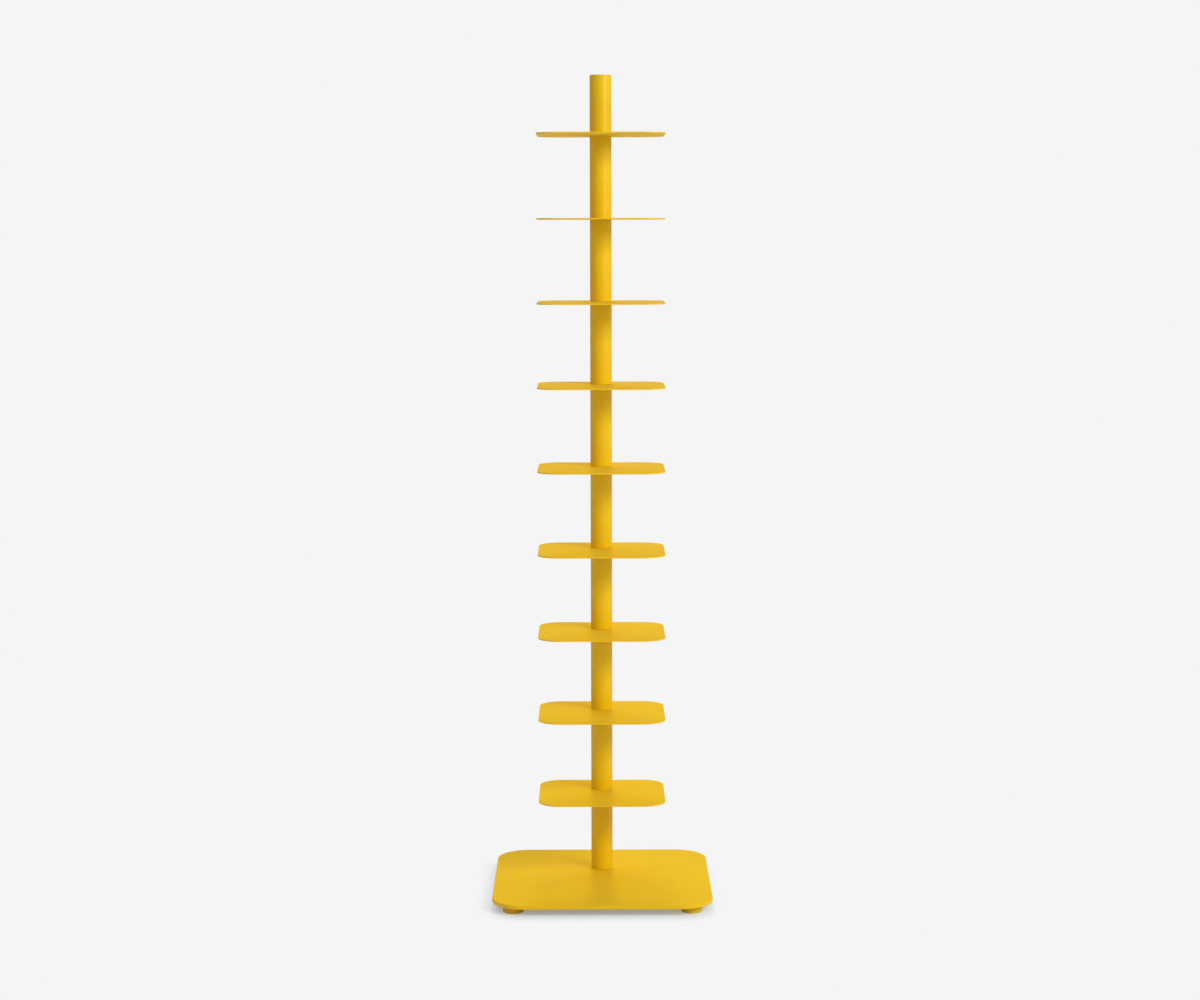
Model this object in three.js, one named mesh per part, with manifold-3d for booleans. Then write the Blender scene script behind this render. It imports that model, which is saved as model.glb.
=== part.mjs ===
// Spine bookshelf: nine thin steel shelves on one slim round column, standing on a square foot plate.
// Millimetres, +Z up, front towards -Y. The origin is on the floor under the middle of the foot plate.
//
// The column is a stack. A square core bar runs up its middle and is pulled tight by a nut at each end,
// which clamps foot plate, tubes and shelves face to face. Bushes with a square bore centre the tubes on
// the bar, and a flatted collar on each bush fills the flatted hole of its plate, so that no shelf can
// turn out of line.
//
// Each foot is a moulded pad that turns on the head of a threaded stud. The stud screws into a boss under
// the foot plate, and a key through the sole of the pad turns it, which raises or lowers that corner.

import * as THREE from "three";
import { mergeVertices } from "three/addons/utils/BufferGeometryUtils.js";
import ManifoldModule from "manifold-3d";

// Fits
const slideFit = 0.3; // gap round a piece that slides into another
const cutOverrun = 2; // how far a cutting shape runs past the faces that it cuts

// Tower
const shelfCount = 9;
const levelPitch = 134; // top of one plate to top of the next
const topTubeLength = 95; // column above the highest shelf
const columnSetback = 59; // column axis behind the middle of the foot plate

// Foot plate
const plateWidth = 350;
const plateDepth = 350;
const plateThick = 6.35;
const plateCorner = 53;
const plateEdge = 1; // rounding of its upper and lower edges

// Shelf
const shelfWidth = 205;
const shelfDepth = 187;
const shelfThick = 2;
const shelfCorner = 36;
const shelfEdge = 0.4;
const shelfLead = 33; // middle of a shelf in front of the column axis

// Column tube
const tubeOuter = 35;
const tubeWall = 3;
const tubeEdge = 0.4;

// Core bar
const barAcross = 12;
const barCorner = 1; // chamfer along its four corners
const barThread = 10; // diameter of the threaded ends
const barTip = 1; // how far the threaded ends stand out of their nuts
const barTipEdge = 1;

// Bushes
const bushReach = 18; // length of each plug inside its tube
const bushEdge = 1;
const collarBearing = 1.2; // how far the collar reaches over the wall of the tube

// Washers and nuts on the core bar
const baseWasherOuter = 44;
const baseWasherThick = 2.5;
const topWasherOuter = 20;
const topWasherThick = 2;
const nutAcross = 17;
const nutThick = 5;
const nutEdge = 1; // chamfer that rounds off the corners of the hexagon

// Top of the column
const clampLedge = 1; // ledge inside the highest tube, on which the clamp disc lies
const clampThick = 4;
const capThick = 3;
const capWall = 2;
const capEdge = 0.5;
const capHeadroom = 1; // from the tip of the core bar to the underside of the cap

// Levelling feet
const footHeight = 11.65; // floor to the underside of the foot plate
const footInset = 34; // foot axis from the edges of the foot plate
const padOuter = 33;
const padSole = 1.2; // thickness under the head of the stud
const padLip = 1.5; // thickness over the head of the stud
const padEdge = 1.4; // rounding at the floor
const padRim = 0.6; // chamfer at the top
const padKeyHole = 6; // hole in the sole through which a key reaches the stud
const bossOuter = 16;
const bossRoom = 0.6; // room round and under the boss inside the pad
const bossEdge = 0.8;
const studThread = 8;
const studHead = 14;
const studHeadThick = 1.8;
const studEdge = 0.8;
const studSocketAcross = 4;
const studSocketDeep = 3.5;
const studTipRoom = 0.5; // above the tip of the stud, in the foot plate
const blindHoleSkin = 1.35; // metal left over the blind hole that the tip enters

// Smoothness: sides of the round pieces, half the steps in a rounded corner, and steps in a rounded edge
const tubeSides = 28;
const bushSides = 16;
const footSides = 16;
const cornerSteps = 4;
const roundingSteps = 2;
const chamferSteps = 1;

// Worked out from the sizes above
const plateTop = footHeight + plateThick;
const towerTop = plateTop + shelfCount * levelPitch + topTubeLength;
const tubeInner = tubeOuter - 2 * tubeWall;
const nutBore = barThread + 2 * slideFit;
const clampBore = tubeInner + 2 * clampLedge; // the counterbored end of the highest tube
const clampStack = clampThick + topWasherThick + nutThick + barTip;
const counterboreDeep = clampStack + capHeadroom + capThick; // everything that the flush cap hides
const blindHoleDeep = plateThick - blindHoleSkin;

// Heights inside a foot, from the floor
const studHeadBottom = padSole + slideFit;
const studHeadTop = studHeadBottom + studHeadThick;
const padFloor = studHeadTop + slideFit + padLip; // floor of the recess that takes in the boss
const bossBottom = padFloor + bossRoom;

const steelYellow = { color: 0xe6b41e, roughness: 0.5, metalness: 0 };
const mouldedYellow = { color: 0xd9a517, roughness: 0.6, metalness: 0 };
const zincSteel = { color: 0xb4b8bc, roughness: 0.38, metalness: 0.9 };
const turnedAluminium = { color: 0xc9cbcc, roughness: 0.34, metalness: 0.95 };

const wasm = await ManifoldModule();
wasm.setup();

// A closed three.js geometry as a solid that can be joined and cut
function solidOf(geometry) {
  geometry.deleteAttribute("normal");
  geometry.deleteAttribute("uv");
  const merged = mergeVertices(geometry);
  const corners = merged.index.array;
  const triangles = [];
  for (let i = 0; i < corners.length; i += 3) {
    const [a, b, c] = corners.subarray(i, i + 3);
    // a pole of a turned shape leaves triangles with no area
    if (a !== b && b !== c && c !== a) {
      triangles.push(a, b, c);
    }
  }
  const vertProperties = new Float32Array(merged.attributes.position.array);
  const triVerts = new Uint32Array(triangles);
  return new wasm.Manifold(new wasm.Mesh({ numProp: 3, vertProperties, triVerts }));
}

function geometryOf(solid) {
  const { vertProperties, triVerts, numProp } = solid.getMesh();
  const geometry = new THREE.BufferGeometry();
  geometry.setAttribute("position", new THREE.BufferAttribute(vertProperties, numProp));
  geometry.setIndex(new THREE.BufferAttribute(triVerts, 1));
  return geometry;
}

// A turned solid: the profile is a list of [radius, height], from the lowest point outwards and up
function turned(profile, sides) {
  const points = profile.map(([radius, height]) => new THREE.Vector2(radius, height));
  return solidOf(new THREE.LatheGeometry(points, sides).rotateX(Math.PI / 2));
}

// A turned solid with a bore: the profile goes round and closes on its first point
function turnedRing(profile, sides) {
  return turned([...profile, profile[0]], sides);
}

// An outline drawn on the floor and raised from one height to another
function raised(outline, bottom, top) {
  const options = { depth: top - bottom, bevelEnabled: false, curveSegments: cornerSteps };
  return solidOf(new THREE.ExtrudeGeometry(outline, options).translate(0, 0, bottom));
}

function roundedRectangle(width, depth, corner) {
  const x = width / 2 - corner;
  const y = depth / 2 - corner;
  const outline = new THREE.Shape();
  outline.absarc(x, y, corner, 0, Math.PI / 2);
  outline.absarc(-x, y, corner, Math.PI / 2, Math.PI);
  outline.absarc(-x, -y, corner, Math.PI, Math.PI * 1.5);
  outline.absarc(x, -y, corner, Math.PI * 1.5, Math.PI * 2);
  return outline;
}

// A plate lying on z = 0 whose upper and lower edges are rounded off
function roundedPlate(width, depth, thick, corner, edge, edgeSteps) {
  const outline = roundedRectangle(width - 2 * edge, depth - 2 * edge, corner - edge);
  const options = {
    depth: thick - 2 * edge,
    bevelThickness: edge,
    bevelSize: edge,
    bevelSegments: edgeSteps,
    curveSegments: cornerSteps,
  };
  return solidOf(new THREE.ExtrudeGeometry(outline, options).translate(0, 0, edge));
}

// A circle with two flats that face left and right
function flattedCircle(diameter, acrossFlats) {
  const flat = Math.acos(acrossFlats / diameter); // angle from X to the end of a flat
  const outline = new THREE.Shape();
  outline.absarc(0, 0, diameter / 2, flat, Math.PI - flat);
  outline.absarc(0, 0, diameter / 2, Math.PI + flat, Math.PI * 2 - flat);
  return outline;
}

function square(across, chamfer) {
  const half = across / 2;
  const inner = half - chamfer;
  const outline = new THREE.Shape();
  outline.moveTo(half, -inner);
  outline.lineTo(half, inner);
  outline.lineTo(inner, half);
  outline.lineTo(-inner, half);
  outline.lineTo(-half, inner);
  outline.lineTo(-half, -inner);
  outline.lineTo(-inner, -half);
  outline.lineTo(inner, -half);
  return outline;
}

function hexagon(across) {
  const corner = across / Math.sqrt(3);
  const outline = new THREE.Shape();
  outline.moveTo(corner, 0);
  for (let side = 1; side < 6; side += 1) {
    const angle = (side * Math.PI) / 3;
    outline.lineTo(corner * Math.cos(angle), corner * Math.sin(angle));
  }
  return outline;
}

function cylinder(diameter, bottom, top, sides) {
  const radius = diameter / 2;
  return turned([[0, bottom], [radius, bottom], [radius, top], [0, top]], sides);
}

// The outline that keys a plate to its bush, for the collar itself or, with room round it, for the hole.
// The flats are as far apart as the bore of the tube is wide, so that a plate slips over its bush.
const collarOuter = tubeInner + 2 * collarBearing;
const collarOutline = flattedCircle(collarOuter, tubeInner);
const keyedHoleOutline = flattedCircle(collarOuter + 2 * slideFit, tubeInner + 2 * slideFit);

// Foot plate, with the keyed hole under the column and a blind hole over each foot
function footPlate(footPlaces) {
  const plate = roundedPlate(plateWidth, plateDepth, plateThick, plateCorner, plateEdge, roundingSteps);
  const holeShape = raised(keyedHoleOutline, -cutOverrun, plateThick + cutOverrun);
  let cut = plate.subtract(holeShape.translate([0, columnSetback, 0]));
  const blindHole = cylinder(studThread + 2 * slideFit, -cutOverrun, blindHoleDeep, footSides);
  for (const [x, y] of footPlaces) {
    cut = cut.subtract(blindHole.translate([x, y, 0]));
  }
  return cut;
}

// Shelf, drawn about the column axis, with its underside on z = 0
function shelfPlate() {
  const plate = roundedPlate(shelfWidth, shelfDepth, shelfThick, shelfCorner, shelfEdge, chamferSteps);
  const holeShape = raised(keyedHoleOutline, -cutOverrun, shelfThick + cutOverrun);
  return plate.translate([0, -shelfLead, 0]).subtract(holeShape);
}

function columnTube(length) {
  const outer = tubeOuter / 2;
  const inner = tubeInner / 2;
  const profile = [
    [inner, 0],
    [outer - tubeEdge, 0],
    [outer, tubeEdge],
    [outer, length - tubeEdge],
    [outer - tubeEdge, length],
    [inner, length],
  ];
  return turnedRing(profile, tubeSides);
}

// The highest tube, whose upper end is bored out to leave a ledge for the clamp disc
function topTube() {
  const outer = tubeOuter / 2;
  const inner = tubeInner / 2;
  const bored = clampBore / 2;
  const ledge = topTubeLength - counterboreDeep;
  const profile = [
    [inner, 0],
    [outer - tubeEdge, 0],
    [outer, tubeEdge],
    [outer, topTubeLength - tubeEdge],
    [outer - tubeEdge, topTubeLength],
    [bored, topTubeLength],
    [bored, ledge],
    [inner, ledge],
  ];
  return turnedRing(profile, tubeSides);
}

// A bush, from bottom to top, with a flatted collar over a part of its height and the square bore for the
// bar. A plug that ends inside a tube is chamfered there, and one that ends in the foot plate is not.
function keyedBush(bottom, bottomEdge, collarBottom, collarTop, top) {
  const radius = tubeInner / 2 - slideFit;
  const profile = [
    [0, bottom],
    [radius - bottomEdge, bottom],
    [radius, bottom + bottomEdge],
    [radius, top - bushEdge],
    [radius - bushEdge, top],
    [0, top],
  ];
  const bore = raised(square(barAcross + 2 * slideFit, barCorner), bottom - cutOverrun, top + cutOverrun);
  return turned(profile, bushSides).add(raised(collarOutline, collarBottom, collarTop)).subtract(bore);
}

// The bush of a shelf: the collar lies in the hole, on the tube below, and a plug fills each tube end
function shelfBush() {
  return keyedBush(-bushReach, bushEdge, 0, shelfThick - slideFit, shelfThick + bushReach);
}

// The bush of the foot plate: its collar fills the hole of the plate, and one plug stands in the first tube
function baseBush() {
  return keyedBush(slideFit, 0, slideFit, plateThick, plateThick + bushReach);
}

// Square bar with a threaded end at each side; heights are those of the tower
function coreBar(squareBottom, squareTop, tipBottom, tipTop) {
  const radius = barThread / 2;
  const core = raised(square(barAcross, barCorner), squareBottom, squareTop);
  const spindle = [
    [0, tipBottom],
    [radius - barTipEdge, tipBottom],
    [radius, tipBottom + barTipEdge],
    [radius, tipTop - barTipEdge],
    [radius - barTipEdge, tipTop],
    [0, tipTop],
  ];
  return core.add(turned(spindle, bushSides));
}

// A flat ring round a threaded end of the core bar
function washer(outer, thick) {
  const profile = [[nutBore / 2, 0], [outer / 2, 0], [outer / 2, thick], [nutBore / 2, thick]];
  return turnedRing(profile, bushSides);
}

// Hexagon nut: a hexagon whose corners are turned off at both ends
function nut() {
  const corner = nutAcross / Math.sqrt(3);
  const profile = [
    [0, 0],
    [corner - nutEdge, 0],
    [corner, nutEdge],
    [corner, nutThick - nutEdge],
    [corner - nutEdge, nutThick],
    [0, nutThick],
  ];
  const blank = raised(hexagon(nutAcross), 0, nutThick).intersect(turned(profile, bushSides));
  return blank.subtract(cylinder(nutBore, -cutOverrun, nutThick + cutOverrun, bushSides));
}

// Cap that closes the column flush with its end: a disc with a skirt that stands on the clamp disc
function topCap() {
  const outer = clampBore / 2 - slideFit;
  const skirt = counterboreDeep - clampThick - capThick;
  const height = skirt + capThick;
  const profile = [
    [outer - capWall, 0],
    [outer, 0],
    [outer, height - capEdge],
    [outer - capEdge, height],
    [0, height],
    [0, skirt],
    [outer - capWall, skirt],
  ];
  return turnedRing(profile, tubeSides);
}

// Threaded boss under the foot plate, drawn from its lower end up to the plate
function footBoss() {
  const height = footHeight - bossBottom;
  const outer = bossOuter / 2;
  const bore = studThread / 2 + slideFit;
  const profile = [
    [bore, 0],
    [outer - bossEdge, 0],
    [outer, bossEdge],
    [outer, height],
    [bore, height],
  ];
  return turnedRing(profile, footSides);
}

// Moulded pad: a round cup that hides the boss and holds the head of the stud in its sole
function footPad() {
  const outer = padOuter / 2;
  const recess = bossOuter / 2 + bossRoom;
  const neck = studThread / 2 + slideFit;
  const pocket = studHead / 2 + slideFit;
  const keyHole = padKeyHole / 2;
  const top = footHeight - slideFit;
  const profile = [[keyHole, 0]];
  for (let step = 0; step <= roundingSteps; step += 1) {
    const angle = (step / roundingSteps) * (Math.PI / 2);
    profile.push([outer - padEdge + padEdge * Math.sin(angle), padEdge - padEdge * Math.cos(angle)]);
  }
  profile.push(
    [outer, top - padRim],
    [outer - padRim, top],
    [recess, top],
    [recess, padFloor],
    [neck, padFloor],
    [neck, studHeadTop + slideFit],
    [pocket, studHeadTop + slideFit],
    [pocket, padSole],
    [keyHole, padSole],
  );
  return turnedRing(profile, footSides);
}

// Threaded stud with a round head and, in the head, the hexagon socket that turns it
function footStud() {
  const radius = studThread / 2;
  const top = footHeight + blindHoleDeep - studTipRoom;
  const profile = [
    [0, studHeadBottom],
    [studHead / 2, studHeadBottom],
    [studHead / 2, studHeadTop],
    [radius, studHeadTop],
    [radius, top - studEdge],
    [radius - studEdge, top],
    [0, top],
  ];
  const socketTop = studHeadBottom + studSocketDeep;
  const socket = raised(hexagon(studSocketAcross), studHeadBottom - cutOverrun, socketTop);
  return turned(profile, footSides).subtract(socket);
}

function addPiece(parent, name, solid, finish, height) {
  const material = new THREE.MeshStandardMaterial({ ...finish, flatShading: true });
  const mesh = new THREE.Mesh(geometryOf(solid), material);
  mesh.name = name;
  mesh.position.z = height;
  parent.add(mesh);
}

const group = new THREE.Group();

// Foot plate, and a group on the axis of each foot
const footX = plateWidth / 2 - footInset;
const footY = plateDepth / 2 - footInset;
const feet = {
  front_left: [-footX, -footY],
  front_right: [footX, -footY],
  rear_left: [-footX, footY],
  rear_right: [footX, footY],
};
addPiece(group, "foot_plate", footPlate(Object.values(feet)), steelYellow, footHeight);
for (const [corner, [x, y]] of Object.entries(feet)) {
  const foot = new THREE.Group();
  foot.position.set(x, y, 0);
  group.add(foot);
  addPiece(foot, `${corner}_pad`, footPad(), mouldedYellow, 0);
  addPiece(foot, `${corner}_stud`, footStud(), zincSteel, 0);
  addPiece(foot, `${corner}_boss`, footBoss(), steelYellow, bossBottom);
}

// Tubes, shelves and bushes, in a group on the column axis
const column = new THREE.Group();
column.position.y = columnSetback;
group.add(column);
addPiece(column, "base_bush", baseBush(), turnedAluminium, footHeight);
for (let level = 1; level <= shelfCount; level += 1) {
  const tubeBottom = plateTop + (level - 1) * levelPitch;
  const shelfBottom = plateTop + level * levelPitch - shelfThick;
  addPiece(column, `column_tube_${level}`, columnTube(levelPitch - shelfThick), steelYellow, tubeBottom);
  addPiece(column, `shelf_${level}`, shelfPlate(), steelYellow, shelfBottom);
  addPiece(column, `shelf_bush_${level}`, shelfBush(), turnedAluminium, shelfBottom);
}
addPiece(column, `column_tube_${shelfCount + 1}`, topTube(), steelYellow, towerTop - topTubeLength);

// What pulls the stack together: a washer and a nut under the foot plate, a disc, a washer and a nut under
// the cap, and the core bar from one nut to the other
const baseWasherBottom = footHeight - baseWasherThick;
const baseNutBottom = baseWasherBottom - nutThick;
const clampBottom = towerTop - counterboreDeep;
const clampTop = clampBottom + clampThick;
const topNutBottom = clampTop + topWasherThick;
const barBottom = baseNutBottom - barTip;
const barTop = topNutBottom + nutThick + barTip;
const bar = coreBar(footHeight + slideFit, clampBottom - slideFit, barBottom, barTop);
addPiece(column, "core_bar", bar, zincSteel, 0);
addPiece(column, "base_washer", washer(baseWasherOuter, baseWasherThick), zincSteel, baseWasherBottom);
addPiece(column, "base_nut", nut(), zincSteel, baseNutBottom);
addPiece(column, "clamp_disc", washer(clampBore - 2 * slideFit, clampThick), zincSteel, clampBottom);
addPiece(column, "top_washer", washer(topWasherOuter, topWasherThick), zincSteel, clampTop);
addPiece(column, "top_nut", nut(), zincSteel, topNutBottom);
addPiece(column, "top_cap", topCap(), steelYellow, clampTop);

export default group;
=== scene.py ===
"""Spine bookshelf: the modelled pieces, their finishes, the camera, the floor and the light.

Everything is in metres, in the frame of the part: +Z up, front towards -Y, the floor at z = 0.
"""
import math

import bmesh
import bpy
from mathutils import Matrix, Vector


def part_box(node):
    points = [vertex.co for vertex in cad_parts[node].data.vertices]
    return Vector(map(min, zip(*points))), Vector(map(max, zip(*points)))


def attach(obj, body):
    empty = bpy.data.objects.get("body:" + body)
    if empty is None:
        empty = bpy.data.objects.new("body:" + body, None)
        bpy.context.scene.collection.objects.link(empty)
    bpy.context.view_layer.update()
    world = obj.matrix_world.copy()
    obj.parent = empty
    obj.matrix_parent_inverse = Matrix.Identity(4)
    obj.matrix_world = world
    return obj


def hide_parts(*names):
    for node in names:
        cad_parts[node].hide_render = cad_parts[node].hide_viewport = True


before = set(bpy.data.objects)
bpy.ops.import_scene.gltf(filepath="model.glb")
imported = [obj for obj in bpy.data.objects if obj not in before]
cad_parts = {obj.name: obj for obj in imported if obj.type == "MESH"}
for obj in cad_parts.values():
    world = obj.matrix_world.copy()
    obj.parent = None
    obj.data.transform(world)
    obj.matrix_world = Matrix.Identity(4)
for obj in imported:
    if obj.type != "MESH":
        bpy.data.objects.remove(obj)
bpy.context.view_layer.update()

# Sizes that the boxes of the nodes don't give
SLIDE_FIT = 0.0003
PLATE_CORNER = 0.053
PLATE_EDGE = 0.001
SHELF_CORNER = 0.036
SHELF_EDGE = 0.0004
TUBE_WALL = 0.003
TUBE_EDGE = 0.0004
LEDGE = 0.001
BAR_CHAMFER = 0.001
BAR_THREAD = 0.010
BAR_PITCH = 0.0015
STUD_THREAD = 0.008
STUD_PITCH = 0.00125
STUD_HEAD = 0.0018
SOCKET_ACROSS = 0.004
SOCKET_DEEP = 0.0035
BOSS_ROOM = 0.0006
PAD_EDGE = 0.0014
PAD_RIM = 0.0006
KEY_HOLE = 0.006
CAP_WALL = 0.002
BUSH_CHAMFER = 0.001
SOFT_EDGE = 0.0002
NUT_CHAMFER_ANGLE = math.radians(30)
THREAD_DEPTH_SHARE = 0.61  # depth of a thread as a share of its pitch

# Smoothness
TUBE_SIDES = 128
SMALL_SIDES = 64
CORNER_STEPS = 20
ROUNDING_STEPS = 4
NUT_ROUNDING_STEPS = 2
RINGS_PER_PITCH = 8
SMOOTH_ANGLE = math.radians(35)
HOLD = 0.0004  # from a rounded edge to the ring that keeps the flat beside it flat
HOLD_ROOM = 3  # a wall gets that ring if it is longer than so many times what arc and ring take up

# Making the meshes
OVERLAP = 0.0004  # how far a cutter reaches past a face, and a joined solid into its neighbour
WELD = 2e-6  # corners of a mesh that lie closer than this become one
LEVEL = 0.9999  # how upright the normal of a level face is at least
HEXAGON_TURN = math.radians(30)  # brings two flats of a hexagon to its front and back

corners = ("front_left", "front_right", "rear_left", "rear_right")
shelf_count = sum(name.startswith("shelf_bush_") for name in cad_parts)


# Modelling with Blender's operators


def make_active(piece):
    bpy.ops.object.select_all(action="DESELECT")
    piece.select_set(True)
    bpy.context.view_layer.objects.active = piece


def smoothed(piece):
    """Shades a piece as round everywhere but across its sharp edges."""
    make_active(piece)
    bpy.ops.object.shade_smooth_by_angle(angle=SMOOTH_ANGLE)
    return piece


def centre_of(box):
    return (box[0] + box[1]) / 2


def half_width(box):
    return (box[1].x - box[0].x) / 2


def half_depth(box):
    return (box[1].y - box[0].y) / 2


def arc_between(start, end, centre):
    """Points from start to end round a centre."""
    a = Vector(start) - centre
    b = Vector(end) - centre
    steps = range(ROUNDING_STEPS + 1)
    return [centre + a.slerp(b, step / ROUNDING_STEPS) * a.length for step in steps]


def rounded(outline, closed):
    """An outline of (radius, height, rounding) with its corners rounded, as a list of (radius, height).

    A ring on each side of an arc keeps the wall beside it from being shaded as if it were bent.
    """
    places = [Vector(point[:2]) for point in outline]
    result = []
    for index, (here, (*_, rounding)) in enumerate(zip(places, outline)):
        if not rounding:
            result.append(here)
            continue
        before = places[index - 1] - here
        after = places[(index + 1) % len(places)] - here
        half = before.angle(after) / 2
        reach = rounding / math.tan(half)
        start = here + before.normalized() * reach
        end = here + after.normalized() * reach
        inward = (before.normalized() + after.normalized()).normalized()
        arc = arc_between(start, end, here + inward * (rounding / math.sin(half)))
        room = HOLD_ROOM * (reach + HOLD)
        if before.length > room:
            arc.insert(0, start + before.normalized() * HOLD)
        if after.length > room:
            arc.append(end + after.normalized() * HOLD)
        result.extend(arc)
    if closed:
        result.append(result[0])
    return [(point.x, point.y) for point in result]


def turned(axis, outline, sides=SMALL_SIDES):
    """A turned piece: one ring, extruded and widened from each point of its outline to the next.

    An outline that ends on its first point makes a hollow piece.
    Any other outline is closed by a disc at each end.
    """
    (radius, height), *points = outline
    hollow = points[-1] == outline[0]
    bpy.ops.object.select_all(action="DESELECT")
    bpy.ops.mesh.primitive_circle_add(
        vertices=sides,
        radius=radius,
        fill_type="NOTHING" if hollow else "NGON",
        location=(axis.x, axis.y, height),
    )
    piece = bpy.context.object
    bpy.ops.object.transform_apply(location=True, rotation=True, scale=True)
    bpy.ops.object.mode_set(mode="EDIT")
    bpy.ops.mesh.select_all(action="SELECT")
    for next_radius, next_height in points:
        move = {"value": (0, 0, next_height - height)}
        if hollow:
            bpy.ops.mesh.extrude_edges_move(TRANSFORM_OT_translate=move)
        else:
            bpy.ops.mesh.extrude_region_move(TRANSFORM_OT_translate=move)
        widening = next_radius / radius
        pivot = (axis.x, axis.y, next_height)
        bpy.ops.transform.resize(value=(widening, widening, 1), center_override=pivot)
        radius, height = next_radius, next_height
    bpy.ops.mesh.select_all(action="SELECT")
    if hollow:
        bpy.ops.mesh.remove_doubles(threshold=WELD)
    bpy.ops.mesh.normals_make_consistent(inside=False)
    bpy.ops.object.mode_set(mode="OBJECT")
    return smoothed(piece)


def combined(piece, other, operation):
    """The piece cut by another one, joined with it, or kept only where both are.

    The other one is used up.
    """
    make_active(piece)
    bpy.ops.object.modifier_add(type="BOOLEAN")
    modifier = piece.modifiers[-1]
    modifier.operation = operation
    modifier.object = other
    modifier.solver = "EXACT"
    bpy.ops.object.modifier_apply(modifier=modifier.name)
    bpy.data.objects.remove(other)
    return piece


def softened(piece, width, steps=ROUNDING_STEPS):
    """Rounds every sharp edge of a piece."""
    make_active(piece)
    bpy.ops.object.modifier_add(type="BEVEL")
    modifier = piece.modifiers[-1]
    modifier.width = width
    modifier.segments = steps
    modifier.limit_method = "ANGLE"
    modifier.angle_limit = SMOOTH_ANGLE
    bpy.ops.object.modifier_apply(modifier=modifier.name)
    return piece


def with_flat_faces(piece):
    """Puts a narrow band round every level face, which keeps the rounded edge's shading out of it."""
    make_active(piece)
    bpy.ops.object.mode_set(mode="EDIT")
    bpy.ops.mesh.select_mode(type="FACE")
    bpy.ops.mesh.select_all(action="DESELECT")
    mesh = bmesh.from_edit_mesh(piece.data)
    for face in mesh.faces:
        face.select_set(abs(face.normal.z) > LEVEL)
    bmesh.update_edit_mesh(piece.data)
    bpy.ops.mesh.inset(thickness=HOLD, depth=0)
    bpy.ops.object.mode_set(mode="OBJECT")
    return smoothed(piece)


def prism(axis, bottom, top, radius, sides, turn=0.0):
    bpy.ops.object.select_all(action="DESELECT")
    bpy.ops.mesh.primitive_cylinder_add(
        vertices=sides,
        radius=radius,
        depth=top - bottom,
        location=(axis.x, axis.y, (bottom + top) / 2),
        rotation=(0, 0, turn),
    )
    bpy.ops.object.transform_apply(location=True, rotation=True, scale=True)
    return bpy.context.object


def hexagon(axis, bottom, top, across):
    """A hexagonal prism with two of its flats facing front and back."""
    return prism(axis, bottom, top, across / math.sqrt(3), 6, HEXAGON_TURN)


def flatted(axis, bottom, top, radius, half_flats):
    """A round prism with a flat on its left and on its right, which keys a plate to its bush."""
    piece = prism(axis, bottom, top, radius, SMALL_SIDES)
    bpy.ops.object.mode_set(mode="EDIT")
    for side in (-1, 1):
        bpy.ops.mesh.select_all(action="SELECT")
        bpy.ops.mesh.bisect(
            plane_co=(axis.x + side * half_flats, axis.y, bottom),
            plane_no=(side, 0, 0),
            use_fill=True,
            clear_outer=True,
        )
    bpy.ops.object.mode_set(mode="OBJECT")
    return piece


def pull_up(corner, steps, height):
    """Cuts or rounds the corners of the plane just added, and pulls it up to its height."""
    bpy.ops.object.mode_set(mode="EDIT")
    bpy.ops.mesh.select_all(action="SELECT")
    bpy.ops.mesh.bevel(offset=corner, segments=steps, affect="VERTICES")
    bpy.ops.mesh.select_all(action="SELECT")
    bpy.ops.mesh.extrude_region_move(TRANSFORM_OT_translate={"value": (0, 0, height)})
    bpy.ops.mesh.select_all(action="SELECT")
    bpy.ops.mesh.normals_make_consistent(inside=False)
    bpy.ops.object.mode_set(mode="OBJECT")


def square_bar(axis, bottom, top, half, chamfer):
    """A square bar whose four long edges are chamfered."""
    bpy.ops.object.select_all(action="DESELECT")
    bpy.ops.mesh.primitive_plane_add(size=2 * half, location=(axis.x, axis.y, bottom))
    bpy.ops.object.transform_apply(location=True, rotation=True, scale=True)
    pull_up(chamfer, 1, top - bottom)
    return bpy.context.object


def sheet_plate(box, corner, edge, cutters):
    """A steel plate: a plane whose corners are rounded, pulled up to its thickness, cut and softened."""
    low, high = box
    middle = centre_of(box)
    bpy.ops.object.select_all(action="DESELECT")
    bpy.ops.mesh.primitive_plane_add(size=1, location=(middle.x, middle.y, low.z))
    piece = bpy.context.object
    piece.scale = (high.x - low.x, high.y - low.y, 1)
    bpy.ops.object.transform_apply(location=True, rotation=True, scale=True)
    pull_up(corner, CORNER_STEPS, high.z - low.z)
    for cutter in cutters:
        combined(piece, cutter, "DIFFERENCE")
    return with_flat_faces(softened(piece, edge))


def fine(radius, bottom, top, pitch):
    """The points of a wall that is to carry a thread, close enough together to follow its helix."""
    steps = round((top - bottom) / pitch * RINGS_PER_PITCH)
    return [(radius, bottom + (top - bottom) * step / steps) for step in range(steps + 1)]


def threaded(piece, axis, bottom, top, pitch):
    """Cuts a thread between two heights by moving each corner of the mesh in by its depth there."""
    for corner in piece.data.vertices:
        place = corner.co
        if not bottom <= place.z <= top:
            continue
        across = Vector((place.x - axis.x, place.y - axis.y))
        turn = math.atan2(across.y, across.x) / math.tau
        flank = abs((place.z / pitch - turn) % 1 * 2 - 1)
        runout = min(1, (place.z - bottom) / pitch, (top - place.z) / pitch)
        inward = across.normalized() * (pitch * THREAD_DEPTH_SHARE * flank * runout)
        place.x -= inward.x
        place.y -= inward.y
    piece.data.update()
    return piece


def copy_at(piece, move):
    """A copy of a finished mesh, moved in its own mesh."""
    twin = piece.copy()
    twin.data = piece.data.copy()
    twin.data.transform(Matrix.Translation(move))
    bpy.context.scene.collection.objects.link(twin)
    return twin


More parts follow.
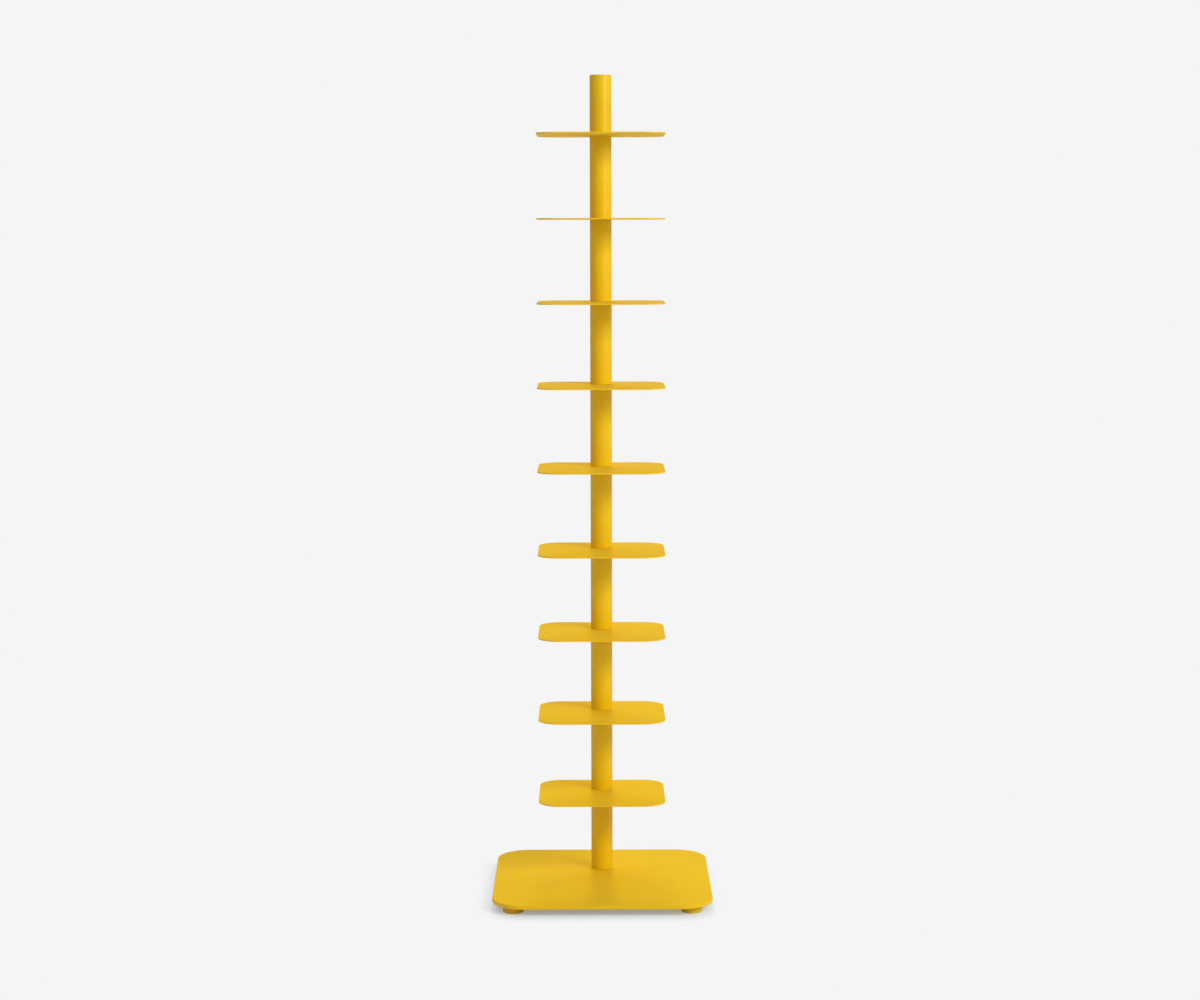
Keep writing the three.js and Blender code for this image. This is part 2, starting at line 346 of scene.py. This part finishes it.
def placed(piece, name, body, finish, node):
    """Names a piece, gives it its finish and lets it stand for its node."""
    piece.name = name
    piece.data.name = name
    piece.data.materials.clear()
    piece.data.materials.append(finish)
    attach(piece, body)
    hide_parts(node)


# Finishes, as nodes


class Wire:
    """An output socket. Arithmetic on wires and numbers adds the Math nodes."""

    def __init__(self, finish, socket):
        self.finish = finish
        self.socket = socket

    def maths(self, operation, *values):
        inputs = dict(enumerate(values))
        return self.finish.node("ShaderNodeMath", inputs, operation=operation)

    def __add__(self, other):
        return self.maths("ADD", self, other)

    __radd__ = __add__

    def __sub__(self, other):
        return self.maths("SUBTRACT", self, other)

    def __rsub__(self, other):
        return self.maths("SUBTRACT", other, self)

    def __mul__(self, other):
        return self.maths("MULTIPLY", self, other)

    __rmul__ = __mul__

    def __truediv__(self, other):
        return self.maths("DIVIDE", self, other)

    def __rtruediv__(self, other):
        return self.maths("DIVIDE", other, self)

    def __pow__(self, other):
        return self.maths("POWER", self, other)

    def __abs__(self):
        return self.maths("ABSOLUTE", self)

    def at_least(self, other):
        return self.maths("MAXIMUM", self, other)

    def at_most(self, other):
        return self.maths("MINIMUM", self, other)

    def sine(self):
        return self.maths("SINE", self)

    def fraction(self):
        return self.maths("FRACT", self)

    def ramp(self, low, high):
        """0 below low, 1 above high and smooth between them."""
        inputs = {"Value": self, "From Min": low, "From Max": high}
        return self.finish.node("ShaderNodeMapRange", inputs, interpolation_type="SMOOTHSTEP")


class Finish:
    """The nodes of a material, or of the world, in the making."""

    def __init__(self, owner):
        owner.use_nodes = True
        self.owner = owner
        self.tree = owner.node_tree
        self.tree.nodes.clear()

    def node(self, kind, inputs=None, output=0, **settings):
        """Any node: its settings first, then the values or wires of its inputs, by name or number."""
        node = self.tree.nodes.new(kind)
        for key, value in settings.items():
            setattr(node, key, value)
        for key, value in (inputs or {}).items():
            if isinstance(value, Wire):
                self.tree.links.new(value.socket, node.inputs[key])
            else:
                node.inputs[key].default_value = value
        return Wire(self, node.outputs[output]) if node.outputs else None

    def place(self):
        return self.node("ShaderNodeTexCoord", output="Object")

    def axes(self):
        """The x, y and z of a point of the piece."""
        node = self.node("ShaderNodeSeparateXYZ", {"Vector": self.place()}).socket.node
        return [Wire(self, socket) for socket in node.outputs]

    def noise(self, size, detail=2.0, stretch=(1, 1, 1)):
        """Soft noise whose lumps are about so large, and so many times narrower along each axis."""
        spread = self.node("ShaderNodeVectorMath", {0: self.place(), 1: stretch}, operation="MULTIPLY")
        inputs = {"Vector": spread, "Scale": 1 / size, "Detail": detail}
        return self.node("ShaderNodeTexNoise", inputs, output="Fac")

    def grains(self, spacing):
        """Distance to the nearest of many scattered points, as a share of the spacing between them."""
        inputs = {"Vector": self.place(), "Scale": 1 / spacing}
        return self.node("ShaderNodeTexVoronoi", inputs, output="Distance")

    def mix(self, factor, first, second):
        """A mix of two colours, which are inputs 6 and 7 of the node, and its output 2."""
        inputs = {0: factor, 6: first, 7: second}
        return self.node("ShaderNodeMix", inputs, output=2, data_type="RGBA")

    def seen_rays(self):
        """1 for what is seen, straight, mirrored or through glass, and 0 for what only lights."""
        rays = self.node("ShaderNodeLightPath").socket.node.outputs
        seen = [Wire(self, rays[f"Is {kind} Ray"]) for kind in ("Camera", "Glossy", "Transmission")]
        return seen[0].at_least(seen[1]).at_least(seen[2])

    def done(self, colour, roughness, height, metallic=0.0, specular=0.5, tint=(1, 1, 1, 1)):
        """The finished material. Height is the relief in metres."""
        normal = self.node("ShaderNodeBump", {"Height": height, "Distance": 1.0, "Strength": 1.0})
        inputs = {
            "Base Color": colour,
            "Roughness": roughness,
            "Metallic": metallic,
            "Specular IOR Level": specular,
            "Specular Tint": tint,
            "Normal": normal,
        }
        shader = self.node("ShaderNodeBsdfPrincipled", inputs)
        self.node("ShaderNodeOutputMaterial", {"Surface": shader})
        return self.owner


def linear(red, green, blue):
    """A colour written as 0 to 255 on the sRGB curve, as the shader wants it."""
    channels = []
    for share in (red / 255, green / 255, blue / 255):
        channels.append(share / 12.92 if share <= 0.04045 else ((share + 0.055) / 1.055) ** 2.4)
    return (*channels, 1.0)


NOISE_MIDDLE = 0.5
NOISE_RANGE = (0.3, 0.7)  # most of a soft noise lies between these


# Powder coat

COAT = linear(228, 187, 7)
COAT_DEEP = linear(224, 182, 5)
COAT_PALE = linear(235, 190, 22)
# painted glint: the oranger tone a rounded edge shows where it catches the light
COAT_EDGE_GLINT = linear(237, 183, 4)
COAT_GLOSS = (1.0, 0.92, 0.5, 1.0)
COAT_SPECULAR = 0.4
SATIN = 0.38  # roughness seen straight on
MATT = 0.8  # roughness at a glancing angle
COAT_UNEVENNESS = 0.06  # of its roughness
CLOUD_SIZE = 0.12
CLOUD_SHARE = 0.7
MOTTLE_SIZE = 0.009
PEEL_SIZE = 0.0024
PEEL_DEPTH = 0.000065
POWDER_SIZE = 0.0005
POWDER_DEPTH = 0.000005
SPECK_SPACING = 0.006
SPECK_PALENESS = 0.25
SPECK_HEIGHT = 0.000006
RUB_SIZE = 0.02
# share of the painted edge glint mixed into the coat
EDGE_GLINT_SHARE = 0.6
EDGE_SMOOTHNESS = 0.03
PLATE_EDGE_REACH = 0.0035
SHELF_EDGE_REACH = 0.0022
TUBE_END_REACH = 0.0012


def powder_coat(name, edge_of):
    """Satin powder coat: yellow with orange peel, smoother along an edge and oranger there as a painted
    glint.
    """
    finish = Finish(bpy.data.materials.new(name))
    edge = edge_of(finish)
    cloud = finish.noise(CLOUD_SIZE, detail=3.0)
    mottle = finish.noise(MOTTLE_SIZE)
    peel = finish.noise(PEEL_SIZE, detail=1.0)
    powder = finish.noise(POWDER_SIZE)
    specks = 1 - finish.grains(SPECK_SPACING).ramp(low=0.03, high=0.09)
    rub = finish.noise(RUB_SIZE, detail=3.0, stretch=(0.25, 1.0, 1.0))
    cover = (cloud * CLOUD_SHARE + mottle * (1 - CLOUD_SHARE)).ramp(*NOISE_RANGE)
    colour = finish.mix(cover, COAT_DEEP, COAT)
    colour = finish.mix(specks * SPECK_PALENESS, colour, COAT_PALE)
    # painted glint: the coat turns oranger towards an edge, the way a lit rounded edge looks
    colour = finish.mix(edge * EDGE_GLINT_SHARE, colour, COAT_EDGE_GLINT)
    facing = finish.node("ShaderNodeLayerWeight", {"Blend": 0.5}, output="Facing")
    glancing = facing.ramp(low=0.25, high=0.8)
    uneven = (mottle - NOISE_MIDDLE) * COAT_UNEVENNESS + (rub - NOISE_MIDDLE) * COAT_UNEVENNESS
    roughness = SATIN + glancing * (MATT - SATIN) + uneven - edge * EDGE_SMOOTHNESS
    height = peel * PEEL_DEPTH + powder * POWDER_DEPTH + specks * SPECK_HEIGHT
    return finish.done(colour, roughness, height, specular=COAT_SPECULAR, tint=COAT_GLOSS)


# Moulded nylon

MOULDING = linear(226, 182, 12)
MOULDING_DEEP = linear(216, 168, 8)
MOULDING_SPECULAR = 0.3
MOULDING_ROUGHNESS = 0.5
FLOW_SIZE = 0.012
FLOW_ROUGHNESS = 0.1
SPARK_SIZE = 0.0004
SPARK_DEPTH = 0.000012
PAD_SCRATCH_SIZE = 0.0015
PAD_SCRATCH_ROUGHNESS = 0.05
PAD_SCRATCH_DEPTH = 0.000004
SCUFF = linear(190, 150, 60)
SCUFF_SIZE = 0.002
SCUFF_SHARE = 0.5
SCUFF_ROUGHNESS = 0.15
SCUFF_DEPTH = 0.00001


def moulding(name, floor_edge):
    """Moulded nylon: a fine spark texture, flow marks, and scuffs near the floor."""
    finish = Finish(bpy.data.materials.new(name))
    height_above_floor = finish.axes()[2]
    flow = finish.noise(FLOW_SIZE, detail=3.0, stretch=(1.0, 1.0, 2.5))
    spark = finish.noise(SPARK_SIZE, detail=3.0)
    streaks = finish.noise(PAD_SCRATCH_SIZE, detail=4.0, stretch=(1.0, 1.0, 6.0))
    scratches = streaks.ramp(low=0.62, high=0.72)
    near_floor = 1 - height_above_floor.ramp(low=0.0, high=floor_edge)
    scuffed = near_floor * finish.noise(SCUFF_SIZE, detail=3.0).ramp(low=0.45, high=0.65)
    colour = finish.mix(flow.ramp(*NOISE_RANGE), MOULDING_DEEP, MOULDING)
    colour = finish.mix(scuffed * SCUFF_SHARE, colour, SCUFF)
    roughness = MOULDING_ROUGHNESS + (flow - NOISE_MIDDLE) * FLOW_ROUGHNESS
    roughness = roughness + scuffed * SCUFF_ROUGHNESS + scratches * PAD_SCRATCH_ROUGHNESS
    height = spark * SPARK_DEPTH - scratches * PAD_SCRATCH_DEPTH - scuffed * SCUFF_DEPTH
    return finish.done(colour, roughness, height, specular=MOULDING_SPECULAR)


# Zinc plating

ZINC = linear(184, 188, 192)
ZINC_WARM = linear(193, 190, 179)
ZINC_DULL = linear(148, 151, 154)
ZINC_ROUGHNESS = 0.3
ZINC_CLOUD_SIZE = 0.006
ZINC_CLOUD_ROUGHNESS = 0.12
CRYSTAL_SPACING = 0.0011
CRYSTAL_DULLNESS = 0.2
CRYSTAL_DEPTH = 0.000003
ZINC_SCRATCH_SIZE = 0.0012
ZINC_SCRATCH_DULLNESS = 0.3
ZINC_SCRATCH_ROUGHNESS = 0.12
ZINC_SCRATCH_DEPTH = 0.000003


def zinc_plate(name):
    """Bright zinc plating: bluish, with warm clouds, fine crystals and rubbed scratches."""
    finish = Finish(bpy.data.materials.new(name))
    cloud = finish.noise(ZINC_CLOUD_SIZE, detail=3.0)
    crystals = finish.grains(CRYSTAL_SPACING)
    streaks = finish.noise(ZINC_SCRATCH_SIZE, detail=4.0, stretch=(1.0, 1.0, 9.0))
    scratches = streaks.ramp(low=0.6, high=0.75)
    dull = crystals.ramp(low=0.2, high=0.9) * CRYSTAL_DULLNESS + scratches * ZINC_SCRATCH_DULLNESS
    colour = finish.mix(cloud.ramp(low=0.35, high=0.7), ZINC, ZINC_WARM)
    colour = finish.mix(dull, colour, ZINC_DULL)
    roughness = ZINC_ROUGHNESS + cloud * ZINC_CLOUD_ROUGHNESS + scratches * ZINC_SCRATCH_ROUGHNESS
    height = crystals * CRYSTAL_DEPTH - scratches * ZINC_SCRATCH_DEPTH
    return finish.done(colour, roughness, height, metallic=1.0)


# Turned aluminium

ALUMINIUM = linear(200, 202, 204)
ALUMINIUM_DULL = linear(160, 162, 164)
ALUMINIUM_ROUGHNESS = 0.28
ALUMINIUM_CLOUD_SIZE = 0.008
ALUMINIUM_CLOUD_DULLNESS = 0.5
GROOVE_PITCH = 0.00022
GROOVE_DEPTH = 0.000002
CHATTER_SIZE = 0.003
CHATTER_DULLNESS = 0.3
CHATTER_ROUGHNESS = 0.14
CHATTER_DEPTH = 0.000002


def turned_metal(name, axis):
    """Turned aluminium: a fine groove that the tool leaves round the axis, over faint clouds."""
    finish = Finish(bpy.data.materials.new(name))
    x, y, z = finish.axes()
    radius = ((x - axis.x) ** 2 + (y - axis.y) ** 2) ** 0.5
    groove = ((radius + z) * (math.tau / GROOVE_PITCH)).sine()
    chatter = finish.noise(CHATTER_SIZE, stretch=(1.0, 1.0, 12.0))
    cloud = finish.noise(ALUMINIUM_CLOUD_SIZE, detail=3.0)
    dull = cloud.ramp(*NOISE_RANGE) * ALUMINIUM_CLOUD_DULLNESS + chatter * CHATTER_DULLNESS
    colour = finish.mix(dull, ALUMINIUM, ALUMINIUM_DULL)
    roughness = ALUMINIUM_ROUGHNESS + chatter * CHATTER_ROUGHNESS
    height = groove * GROOVE_DEPTH + chatter * CHATTER_DEPTH
    return finish.done(colour, roughness, height, metallic=1.0)


# Where an edge is near


def outline_distance(finish, box, corner):
    """Distance, seen from above, to the outline of a plate with round corners. It is below 0 inside."""
    middle = centre_of(box)
    x, y, _ = finish.axes()
    beyond_x = abs(x - middle.x) - (half_width(box) - corner)
    beyond_y = abs(y - middle.y) - (half_depth(box) - corner)
    outside = (beyond_x.at_least(0) ** 2 + beyond_y.at_least(0) ** 2) ** 0.5
    return outside + beyond_x.at_least(beyond_y).at_most(0) - corner


def plate_edge(box, corner, reach):
    """How near a point is to the outline of a plate: 0 well inside, 1 on the edge."""

    def edge(finish):
        return outline_distance(finish, box, corner).ramp(-reach, 0.0)

    return edge


def tube_edge(first_box, pitch, reach):
    """How near a point is to the end of a column tube: 0 well away from it, 1 at it."""

    def edge(finish):
        z = finish.axes()[2]
        share = ((z - first_box[0].z) / pitch).fraction()
        from_end = (0.5 - abs(share - 0.5)) * pitch
        return 1 - from_end.ramp(0.0, reach)

    return edge


# The tower's own boxes

plate_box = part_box("foot_plate")
first_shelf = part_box("shelf_1")
first_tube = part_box("column_tube_1")
top_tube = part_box(f"column_tube_{shelf_count + 1}")
clamp_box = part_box("clamp_disc")
bar_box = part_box("core_bar")
axis = centre_of(first_tube)
level_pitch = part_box("shelf_2")[0].z - first_shelf[0].z
tube_outer = half_width(first_tube)
tube_inner = tube_outer - TUBE_WALL


# The tower's own finishes

foot_plate_edge = plate_edge(plate_box, PLATE_CORNER, PLATE_EDGE_REACH)
shelf_edge = plate_edge(first_shelf, SHELF_CORNER, SHELF_EDGE_REACH)
tube_ends = tube_edge(first_tube, level_pitch, TUBE_END_REACH)
coated_plate = powder_coat("powder_coat_foot_plate", foot_plate_edge)
coated_shelf = powder_coat("powder_coat_shelf", shelf_edge)
coated_tube = powder_coat("powder_coat_column", tube_ends)
moulded = moulding("moulded_pad", PAD_EDGE)
zinc = zinc_plate("zinc_plate")
aluminium = turned_metal("turned_aluminium", axis)


# Foot plate and shelves


def keyed_cutter(bush, bottom, top):
    """What cuts the flatted hole that a bush's collar fills."""
    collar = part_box(bush)
    radius = half_depth(collar) + SLIDE_FIT
    half_flats = half_width(collar) + SLIDE_FIT
    return flatted(axis, bottom, top, radius, half_flats)


def build_foot_plate():
    low, high = plate_box
    cutters = [keyed_cutter("base_bush", low.z - OVERLAP, high.z + OVERLAP)]
    radius = STUD_THREAD / 2 + SLIDE_FIT
    for corner in corners:
        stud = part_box(f"{corner}_stud")
        hole_top = stud[1].z + SLIDE_FIT
        cutters.append(prism(centre_of(stud), low.z - OVERLAP, hole_top, radius, SMALL_SIDES))
    plate = sheet_plate(plate_box, PLATE_CORNER, PLATE_EDGE, cutters)
    placed(plate, "steel_foot_plate", "tower", coated_plate, "foot_plate")


def build_shelves():
    low, high = first_shelf
    cutter = keyed_cutter("shelf_bush_1", low.z - OVERLAP, high.z + OVERLAP)
    pattern = sheet_plate(first_shelf, SHELF_CORNER, SHELF_EDGE, [cutter])
    for level in range(1, shelf_count + 1):
        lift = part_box(f"shelf_{level}")[0].z - low.z
        shelf = copy_at(pattern, (0, 0, lift))
        name = f"steel_shelf_{level}"
        placed(shelf, name, "tower", coated_shelf, f"shelf_{level}")
    bpy.data.objects.remove(pattern)


# Column


def build_tubes():
    low, high = first_tube
    outline = [
        (tube_inner, low.z, SOFT_EDGE),
        (tube_outer, low.z, TUBE_EDGE),
        (tube_outer, high.z, TUBE_EDGE),
        (tube_inner, high.z, SOFT_EDGE),
    ]
    pattern = turned(axis, rounded(outline, closed=True), TUBE_SIDES)
    for level in range(1, shelf_count + 1):
        node = f"column_tube_{level}"
        tube = copy_at(pattern, (0, 0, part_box(node)[0].z - low.z))
        placed(tube, f"steel_tube_{level}", "tower", coated_tube, node)
    bpy.data.objects.remove(pattern)


def build_top_tube():
    low, high = top_tube
    bored = tube_inner + LEDGE
    outline = [
        (tube_inner, low.z, SOFT_EDGE),
        (tube_outer, low.z, TUBE_EDGE),
        (tube_outer, high.z, TUBE_EDGE),
        (bored, high.z, SOFT_EDGE),
        (bored, clamp_box[0].z, SOFT_EDGE),
        (tube_inner, clamp_box[0].z, SOFT_EDGE),
    ]
    tube = turned(axis, rounded(outline, closed=True), TUBE_SIDES)
    node = f"column_tube_{shelf_count + 1}"
    placed(tube, "steel_tube_top", "tower", coated_tube, node)


def build_cap():
    """The cap. The two points on its axis only guide the rounding, because a disc closes each end."""
    low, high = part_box("top_cap")
    outer = half_width(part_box("top_cap"))
    inner = outer - CAP_WALL
    roof = bar_box[1].z + LEDGE
    outline = [
        (0, roof, 0),
        (inner, roof, SOFT_EDGE),
        (inner, low.z, SOFT_EDGE),
        (outer, low.z, SOFT_EDGE),
        (outer, high.z, TUBE_EDGE),
        (0, high.z, 0),
    ]
    cap = turned(axis, rounded(outline, closed=False)[1:-1], TUBE_SIDES)
    placed(cap, "column_cap", "tower", coated_tube, "top_cap")


def bored_bush(box, collar_bottom, collar_top, bottom_chamfer):
    """A turned bush: a chamfered plug, with a flatted collar and a square bore for the core bar."""
    low, high = box
    radius = tube_inner - SLIDE_FIT
    outline = [
        (radius - bottom_chamfer, low.z),
        (radius, low.z + bottom_chamfer),
        (radius, high.z - BUSH_CHAMFER),
        (radius - BUSH_CHAMFER, high.z),
    ]
    plug = turned(axis, outline)
    collar = flatted(axis, collar_bottom, collar_top, half_depth(box), half_width(box))
    half = half_width(bar_box) + SLIDE_FIT
    bore = square_bar(axis, low.z - OVERLAP, high.z + OVERLAP, half, BAR_CHAMFER)
    return smoothed(combined(combined(plug, collar, "UNION"), bore, "DIFFERENCE"))


def build_bushes():
    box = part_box("base_bush")
    base = bored_bush(box, box[0].z, plate_box[1].z, SOFT_EDGE)
    placed(base, "foot_plate_bush", "tower", aluminium, "base_bush")
    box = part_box("shelf_bush_1")
    pattern = bored_bush(box, first_shelf[0].z, first_shelf[1].z - SLIDE_FIT, BUSH_CHAMFER)
    for level in range(1, shelf_count + 1):
        node = f"shelf_bush_{level}"
        bush = copy_at(pattern, (0, 0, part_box(node)[0].z - box[0].z))
        placed(bush, f"keyed_bush_{level}", "tower", aluminium, node)
    bpy.data.objects.remove(pattern)


def build_core_bar():
    low, high = bar_box
    square_low = plate_box[0].z + SLIDE_FIT
    square_high = clamp_box[0].z - SLIDE_FIT
    radius = BAR_THREAD / 2
    tip = BAR_CHAMFER
    bar = square_bar(axis, square_low, square_high, half_width(bar_box), BAR_CHAMFER)
    for bottom, top in ((low.z, square_low + OVERLAP), (square_high - OVERLAP, high.z)):
        wall = fine(radius, bottom + tip, top - tip, BAR_PITCH)
        outline = [(radius - tip, bottom), *wall, (radius - tip, top)]
        end = threaded(turned(axis, outline), axis, bottom + tip, top - tip, BAR_PITCH)
        combined(bar, end, "UNION")
    placed(smoothed(bar), "threaded_core_bar", "tower", zinc, "core_bar")


def build_washers():
    bore = BAR_THREAD / 2 + SLIDE_FIT
    for node in ("base_washer", "clamp_disc", "top_washer"):
        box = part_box(node)
        low, high = box
        outer = half_width(box)
        outline = [
            (bore, low.z, SOFT_EDGE),
            (outer, low.z, SOFT_EDGE),
            (outer, high.z, SOFT_EDGE),
            (bore, high.z, SOFT_EDGE),
        ]
        washer = turned(axis, rounded(outline, closed=True))
        placed(washer, f"zinc_{node}", "tower", zinc, node)


def build_nuts():
    """Each nut is what a hexagon and a chamfered round blank share, with a bore through it."""
    bore_radius = BAR_THREAD / 2 + SLIDE_FIT
    rise = BAR_CHAMFER * math.tan(NUT_CHAMFER_ANGLE)
    for node in ("base_nut", "top_nut"):
        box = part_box(node)
        low, high = box
        corner = half_width(box)
        blank = [
            (corner - BAR_CHAMFER, low.z),
            (corner, low.z + rise),
            (corner, high.z - rise),
            (corner - BAR_CHAMFER, high.z),
        ]
        nut = hexagon(axis, low.z, high.z, 2 * half_depth(box))
        combined(nut, turned(axis, blank), "INTERSECT")
        bore = prism(axis, low.z - OVERLAP, high.z + OVERLAP, bore_radius, SMALL_SIDES)
        combined(nut, bore, "DIFFERENCE")
        softened(nut, SOFT_EDGE, NUT_ROUNDING_STEPS)
        placed(smoothed(nut), f"hexagon_{node}", "tower", zinc, node)


# Feet


def build_pad(corner):
    """The pad: a pocket for the stud's head in its sole, a neck above it and a recess for the boss."""
    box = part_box(f"{corner}_pad")
    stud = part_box(f"{corner}_stud")
    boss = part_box(f"{corner}_boss")
    low, high = box
    outer = half_width(box)
    recess = half_width(boss) + BOSS_ROOM
    neck = STUD_THREAD / 2 + SLIDE_FIT
    pocket = half_width(stud) + SLIDE_FIT
    sole = stud[0].z - SLIDE_FIT
    pocket_top = stud[0].z + STUD_HEAD + SLIDE_FIT
    recess_floor = boss[0].z - BOSS_ROOM
    outline = [
        (KEY_HOLE / 2, low.z, SOFT_EDGE),
        (outer, low.z, PAD_EDGE),
        (outer, high.z, PAD_RIM),
        (recess, high.z, SOFT_EDGE),
        (recess, recess_floor, SOFT_EDGE),
        (neck, recess_floor, SOFT_EDGE),
        (neck, pocket_top, SOFT_EDGE),
        (pocket, pocket_top, SOFT_EDGE),
        (pocket, sole, SOFT_EDGE),
        (KEY_HOLE / 2, sole, SOFT_EDGE),
    ]
    pad = turned(centre_of(box), rounded(outline, closed=True))
    placed(pad, f"moulded_pad_{corner}", f"{corner}_pad", moulded, f"{corner}_pad")


def build_boss(corner):
    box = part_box(f"{corner}_boss")
    low, high = box
    outer = half_width(box)
    bore = STUD_THREAD / 2 + SLIDE_FIT
    outline = [
        (bore, low.z, SOFT_EDGE),
        (outer, low.z, PAD_RIM),
        (outer, high.z, 0),
        (bore, high.z, 0),
    ]
    boss = turned(centre_of(box), rounded(outline, closed=True))
    placed(boss, f"welded_boss_{corner}", "tower", coated_plate, f"{corner}_boss")


def build_stud(corner):
    """The stud: a flat head with a key socket, and a threaded shank. A disc closes each end."""
    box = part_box(f"{corner}_stud")
    low, high = box
    middle = centre_of(box)
    head = half_width(box)
    head_top = low.z + STUD_HEAD
    radius = STUD_THREAD / 2
    tip = STUD_PITCH / 2
    head_outline = [
        (0, low.z, 0),
        (head, low.z, SOFT_EDGE),
        (head, head_top, SOFT_EDGE),
        (radius, head_top, 0),
    ]
    wall = fine(radius, head_top + tip, high.z - tip, STUD_PITCH)
    outline = [*rounded(head_outline, closed=False)[1:], *wall, (radius - tip, high.z)]
    stud = threaded(turned(middle, outline), middle, head_top + tip, high.z - tip, STUD_PITCH)
    socket = hexagon(middle, low.z - OVERLAP, low.z + SOCKET_DEEP, SOCKET_ACROSS)
    stud = smoothed(combined(stud, socket, "DIFFERENCE"))
    placed(stud, f"threaded_stud_{corner}", f"{corner}_stud", zinc, f"{corner}_stud")


# Camera, floor and light

WHITE = linear(255, 255, 255)
BACKDROP = linear(245, 245, 245)
AMBIENT = 0.425
LAMP_AIM = Vector((0, 0.05, 0.65))
FLOOR_COLOUR = linear(230, 242, 254)
FLOOR_SIZE = 12
FLOOR_HAZE = 0.3  # share of the backdrop in what is seen of the floor under the foot plate
FLOOR_CORE = -0.02  # distance from the outline of the foot plate where that share begins to grow
FLOOR_FADE = 0.042  # distance from it where only the backdrop is left
CAMERA_LENS = 73.009  # in millimetres, as the sensor is
CAMERA_SENSOR = 36
CAMERA_PLACE = Vector((-0.0131, -3.8997, 1.0695))
CAMERA_PITCH = 0.1003  # in radians, as the other turns are
CAMERA_YAW = -0.0028
CAMERA_ROLL = -0.00215
CAMERA_SHIFT = -0.02


def build_camera():
    """The camera of the photograph: level with the second shelf from the top, looking slightly down."""
    right = Vector((math.cos(CAMERA_YAW), math.sin(CAMERA_YAW), 0))
    level = Vector((-math.sin(CAMERA_YAW), math.cos(CAMERA_YAW), 0))
    forward = level * math.cos(CAMERA_PITCH) - Vector((0, 0, math.sin(CAMERA_PITCH)))
    up = level * math.sin(CAMERA_PITCH) + Vector((0, 0, math.cos(CAMERA_PITCH)))
    rolled_right = right * math.cos(CAMERA_ROLL) + up * math.sin(CAMERA_ROLL)
    rolled_up = up * math.cos(CAMERA_ROLL) - right * math.sin(CAMERA_ROLL)
    data = bpy.data.cameras.new("camera")
    data.lens = CAMERA_LENS
    data.sensor_width = CAMERA_SENSOR
    data.shift_y = CAMERA_SHIFT
    camera = bpy.data.objects.new("camera", data)
    turn = Matrix((rolled_right, rolled_up, -forward)).transposed()
    camera.matrix_world = Matrix.Translation(CAMERA_PLACE) @ turn.to_4x4()
    bpy.context.scene.collection.objects.link(camera)
    bpy.context.scene.camera = camera


def softbox(name, azimuth, height, distance, size, power, mirrored=False):
    """An area lamp, so many degrees to the right of the front, that looks at the middle of the tower."""
    data = bpy.data.lights.new(name, "AREA")
    data.shape = "RECTANGLE"
    data.size, data.size_y = size
    data.energy = power
    lamp = bpy.data.objects.new(name, data)
    angle = math.radians(azimuth)
    lamp.location = (distance * math.sin(angle), -distance * math.cos(angle), height)
    lamp.rotation_euler = (LAMP_AIM - lamp.location).to_track_quat("-Z", "Y").to_euler()
    lamp.visible_glossy = mirrored
    bpy.context.scene.collection.objects.link(lamp)


def build_lights():
    """The key stands right of the camera and is mirrored in the column. The others aren't mirrored."""
    softbox("key_softbox", azimuth=50, height=2.0, distance=3.0, size=(0.9, 0.9), power=51, mirrored=True)
    softbox("front_softbox", azimuth=25, height=1.8, distance=3.2, size=(1.6, 1.6), power=22)
    softbox("rear_softbox", azimuth=180, height=2.6, distance=2.5, size=(0.6, 0.8), power=12)
    softbox("rear_far_softbox", azimuth=180, height=2.0, distance=4.5, size=(0.8, 1.0), power=106)
    softbox("rear_left_softbox", azimuth=-150, height=2.0, distance=3.0, size=(1.4, 1.4), power=16)
    softbox("rear_right_softbox", azimuth=150, height=2.0, distance=3.0, size=(1.4, 1.4), power=10)


def build_world():
    """A pale room: one colour for what is seen, and a level of its own for soft light."""
    world = bpy.data.worlds.new("pale_room")
    bpy.context.scene.world = world
    finish = Finish(world)
    soft_light = finish.node("ShaderNodeBackground", {"Color": WHITE, "Strength": AMBIENT})
    backdrop = finish.node("ShaderNodeBackground", {"Color": BACKDROP})
    sky = finish.node("ShaderNodeMixShader", {0: finish.seen_rays(), 1: soft_light, 2: backdrop})
    finish.node("ShaderNodeOutputWorld", {"Surface": sky})


def build_floor():
    """A pale floor that is seen to fade into the backdrop round the foot plate.

    The glow is only for what is seen, straight or mirrored. For soft light this is a plain floor.
    """
    bpy.ops.object.select_all(action="DESELECT")
    bpy.ops.mesh.primitive_plane_add(size=FLOOR_SIZE)
    floor = bpy.context.object
    floor.name = "floor"
    finish = Finish(bpy.data.materials.new("pale_floor"))
    beside = outline_distance(finish, plate_box, PLATE_CORNER)
    faded = beside.ramp(FLOOR_CORE, FLOOR_FADE) * (1 - FLOOR_HAZE) + FLOOR_HAZE
    matt = finish.node("ShaderNodeBsdfDiffuse", {"Color": FLOOR_COLOUR})
    backdrop = finish.node("ShaderNodeEmission", {"Color": BACKDROP})
    ground = finish.node("ShaderNodeMixShader", {0: faded * finish.seen_rays(), 1: matt, 2: backdrop})
    finish.node("ShaderNodeOutputMaterial", {"Surface": ground})
    finish.owner.cycles.emission_sampling = "NONE"
    floor.data.materials.append(finish.owner)


build_camera()
build_foot_plate()
build_shelves()
build_tubes()
build_top_tube()
build_cap()
build_bushes()
build_core_bar()
build_washers()
build_nuts()
for corner in corners:
    build_pad(corner)
    build_boss(corner)
    build_stud(corner)
build_floor()
build_lights()
build_world()
bpy.context.scene.view_settings.view_transform = "Standard"
